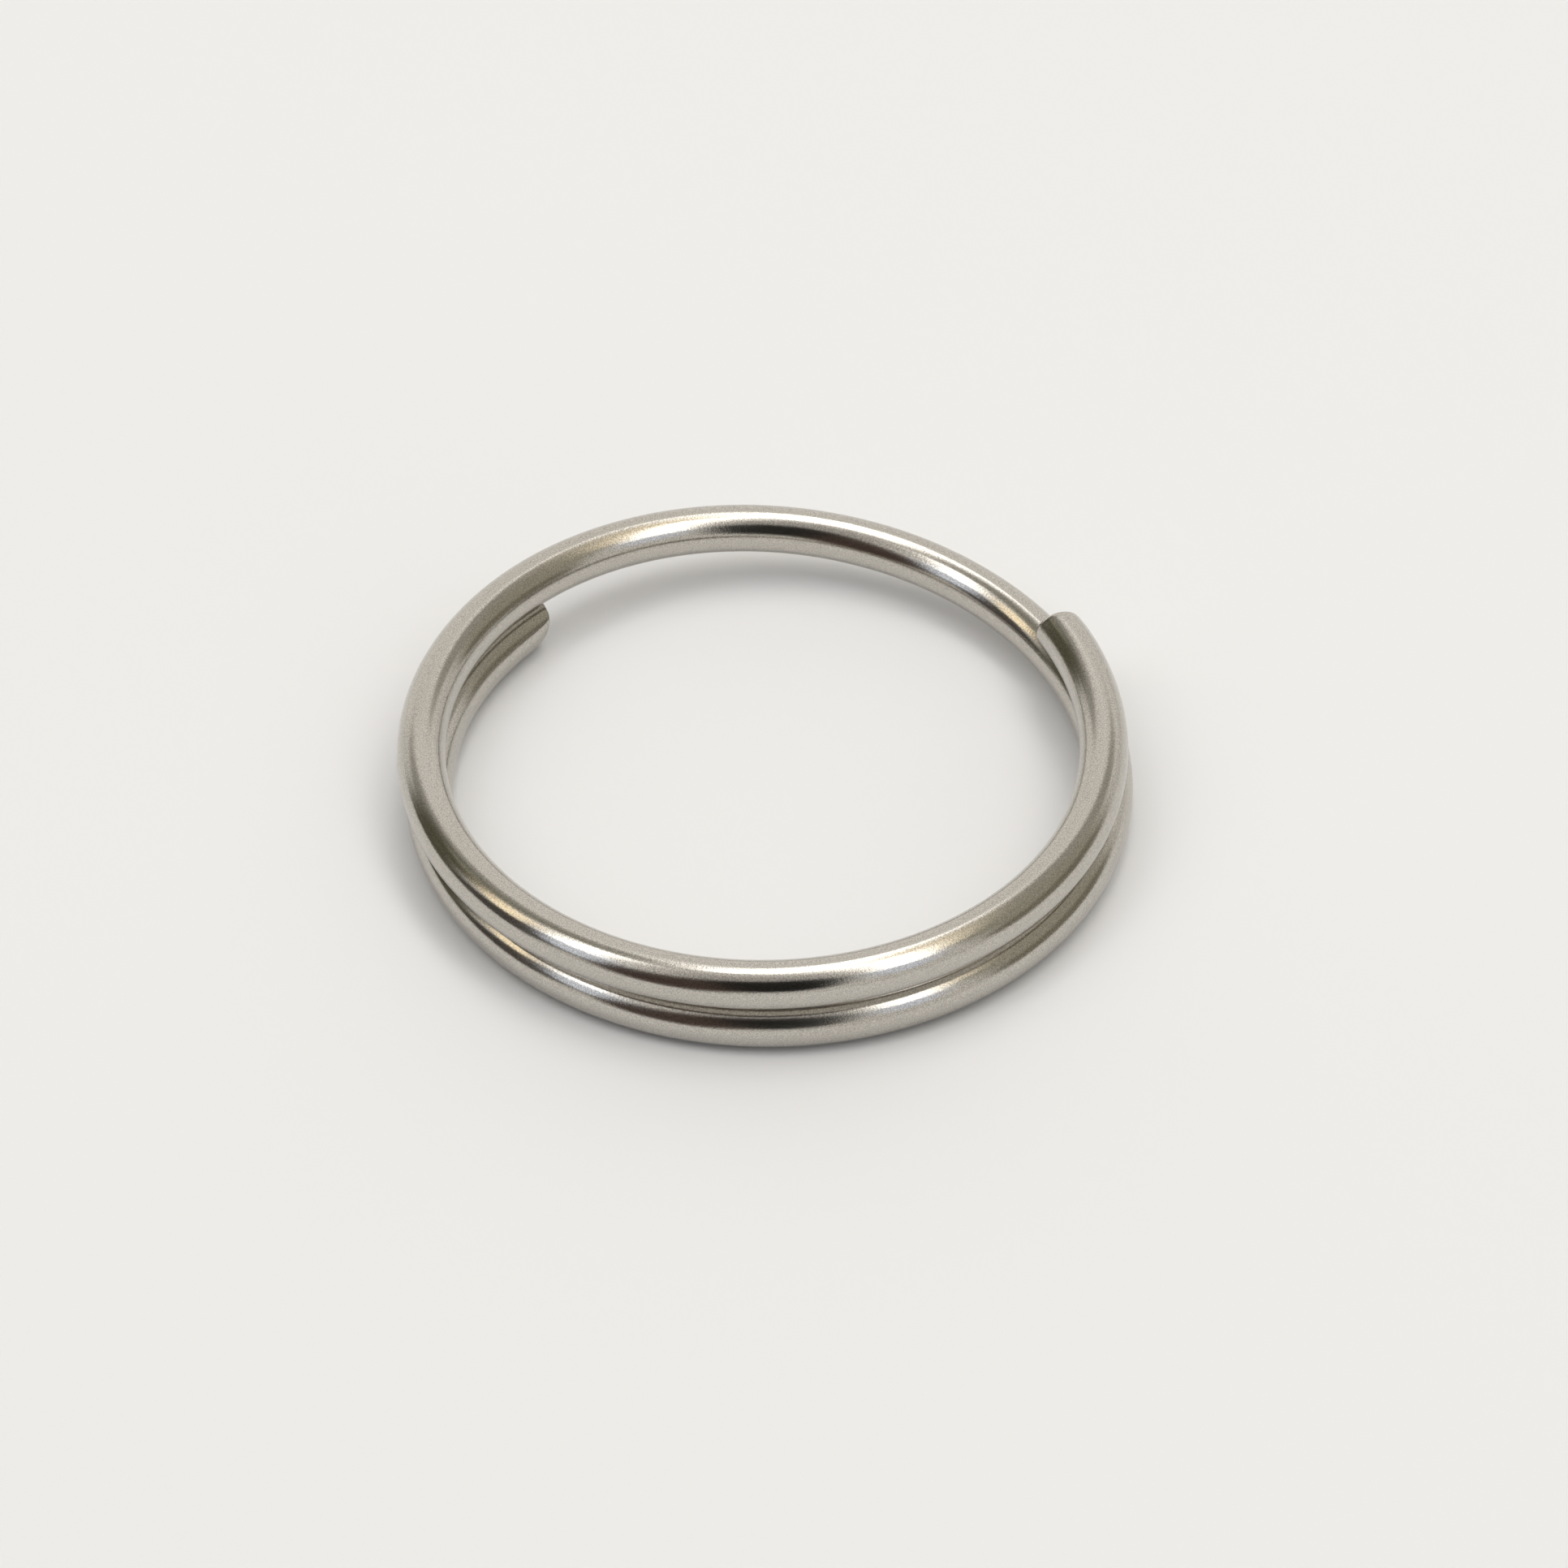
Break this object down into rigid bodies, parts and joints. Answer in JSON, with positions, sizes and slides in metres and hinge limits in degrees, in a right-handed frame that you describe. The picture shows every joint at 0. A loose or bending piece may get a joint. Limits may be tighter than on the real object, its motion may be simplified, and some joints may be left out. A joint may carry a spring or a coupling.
{
  "type": "split key ring",
  "caption": "Split key ring coiled flat from one length of round plated spring wire, with overlapping turns that spring apart at the tips to let keys on.",
  "frame": {"origin": "on the ring's axis, midway between the middles of the two flat turns, at the level of the surface that the ring lies on", "axes": "+Z along the ring's axis, up from the lower turn to the upper turn; -Y is the front, where both turns run side by side; the single-strand crossover is at the back, +Y"},
  "size_m": [0.0302, 0.0301, 0.0045],
  "materials": {
    "nickel_plated_wire": "satin bright nickel plate over carbon spring steel"
  },
  "bodies": {
    "lower_tip": {"lower_tip": "nickel_plated_wire"},
    "lower_left": {"lower_left": "nickel_plated_wire"},
    "lower_front_left": {"lower_front_left": "nickel_plated_wire"},
    "lower_front": {"lower_front": "nickel_plated_wire"},
    "middle": {"upper_left": "nickel_plated_wire", "crossover_high": "nickel_plated_wire", "crossover_low": "nickel_plated_wire", "lower_front_right": "nickel_plated_wire"},
    "upper_front_left": {"upper_front_left": "nickel_plated_wire"},
    "upper_front": {"upper_front": "nickel_plated_wire"},
    "upper_front_right": {"upper_front_right": "nickel_plated_wire"},
    "upper_tip": {"upper_tip": "nickel_plated_wire"}
  },
  "joints": [
    {"name": "lower_tip_flex", "type": "hinge", "parent": "lower_tip", "child": "lower_left", "pos_m": [-0.01382, 0.0012, 0.001], "axis": [0.9027, -0.4302, 0], "range_deg": [0, 0.934], "stiffness_Nm_per_rad": 15.13},
    {"name": "lower_left_flex", "type": "hinge", "parent": "lower_left", "child": "lower_front_left", "pos_m": [-0.01119, -0.00825, 0.001], "axis": [0.9962, -0.0868, 0], "range_deg": [0, 1.75], "stiffness_Nm_per_rad": 13.89},
    {"name": "lower_front_left_flex", "type": "hinge", "parent": "lower_front_left", "child": "lower_front", "pos_m": [-0.00301, -0.01366, 0.001], "axis": [0.9635, 0.2676, 0], "range_deg": [0, 2.34], "stiffness_Nm_per_rad": 12.74},
    {"name": "lower_front_flex", "type": "hinge", "parent": "lower_front", "child": "middle", "pos_m": [0.00671, -0.01237, 0.001], "axis": [0.8088, 0.5881, 0], "range_deg": [0, 2.64], "stiffness_Nm_per_rad": 12.13},
    {"name": "upper_front_left_flex", "type": "hinge", "parent": "middle", "child": "upper_front_left", "pos_m": [-0.01249, -0.00656, 0.00305], "axis": [0.4869, -0.8735, 0], "range_deg": [0, 2.33], "stiffness_Nm_per_rad": 11.51},
    {"name": "upper_front_flex", "type": "hinge", "parent": "upper_front_left", "child": "upper_front", "pos_m": [-0.00469, -0.01322, 0.00305], "axis": [0.7727, -0.6348, 0], "range_deg": [0, 2.18], "stiffness_Nm_per_rad": 11.83},
    {"name": "upper_front_right_flex", "type": "hinge", "parent": "upper_front", "child": "upper_front_right", "pos_m": [0.00556, -0.01278, 0.00305], "axis": [0.9513, -0.3083, 0], "range_deg": [0, 1.73], "stiffness_Nm_per_rad": 12.82},
    {"name": "upper_tip_flex", "type": "hinge", "parent": "upper_front_right", "child": "upper_tip", "pos_m": [0.01276, -0.00546, 0.00305], "axis": [0.9982, 0.0598, 0], "range_deg": [0, 1.04], "stiffness_Nm_per_rad": 14.1}
  ]
}
